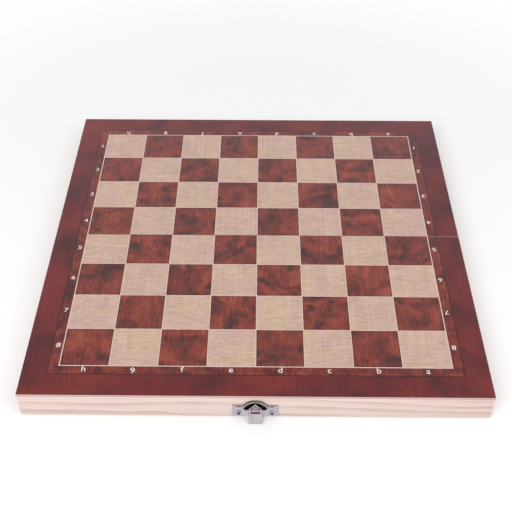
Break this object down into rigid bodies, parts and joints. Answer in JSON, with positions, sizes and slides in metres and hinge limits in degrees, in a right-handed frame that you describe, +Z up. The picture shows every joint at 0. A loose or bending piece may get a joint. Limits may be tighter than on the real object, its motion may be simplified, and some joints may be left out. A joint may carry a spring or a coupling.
{
  "type": "folding chess board",
  "caption": "Folding chess board and box: two hinged trays with an inlaid field of squares on top and a snap clasp.",
  "frame": {"origin": "middle of the fold line, on the table under the hinge knuckles, with the board open", "axes": "+X along the fold from the h file to the a file, +Y from the clasp towards the back edge, +Z up"},
  "size_m": [0.29, 0.2975, 0.0212],
  "materials": {
    "pine": "bare planed softwood, clear lacquer",
    "panel_wood": "thin plywood with a bare edge",
    "mahogany": "red-brown veneer, high gloss lacquer",
    "burl": "burl veneer, high gloss lacquer",
    "maple": "pale figured veneer, high gloss lacquer",
    "light_line": "pale stringing, high gloss lacquer",
    "dark_line": "dark stringing, high gloss lacquer",
    "lining_cloth": "short-napped cloth",
    "nickel": "bright nickel plate",
    "blued_steel": "blued spring steel",
    "hinge_brass": "brass plate"
  },
  "bodies": {
    "front_half": {"front_outer_rail": "pine", "front_hinge_rail": "pine", "front_left_rail": "pine", "front_right_rail": "pine", "front_panel": "panel_wood", "front_lining": "lining_cloth", "front_outer_border": "mahogany", "front_dark_line": "dark_line", "front_inner_border": "burl", "front_light_lines": "light_line", "front_light_squares": "maple", "front_dark_squares": "burl", "left_hinge_front_leaf": "hinge_brass", "left_hinge_pin": "hinge_brass", "right_hinge_front_leaf": "hinge_brass", "right_hinge_pin": "hinge_brass", "front_hinge_screws": "hinge_brass", "clasp_plate": "nickel", "clasp_spring": "blued_steel", "clasp_pin": "nickel", "clasp_screws": "nickel"},
    "back_half": {"back_outer_rail": "pine", "back_hinge_rail": "pine", "back_left_rail": "pine", "back_right_rail": "pine", "back_panel": "panel_wood", "back_lining": "lining_cloth", "back_outer_border": "mahogany", "back_dark_line": "dark_line", "back_inner_border": "burl", "back_light_lines": "light_line", "back_light_squares": "maple", "back_dark_squares": "burl", "left_hinge_back_leaf": "hinge_brass", "right_hinge_back_leaf": "hinge_brass", "back_hinge_screws": "hinge_brass", "catch_plate": "nickel", "catch_screws": "nickel"},
    "clasp_flap": {"clasp_flap": "nickel"}
  },
  "joints": [
    {"name": "fold", "type": "hinge", "parent": "front_half", "child": "back_half", "pos_m": [0, 0, 0.0011], "axis": [-1, 0, 0], "range_deg": [0, 180]},
    {"name": "clasp_swing", "type": "hinge", "parent": "front_half", "child": "clasp_flap", "pos_m": [0, -0.1462, 0.00835], "axis": [1, 0, 0], "range_deg": [-13, 24]}
  ]
}
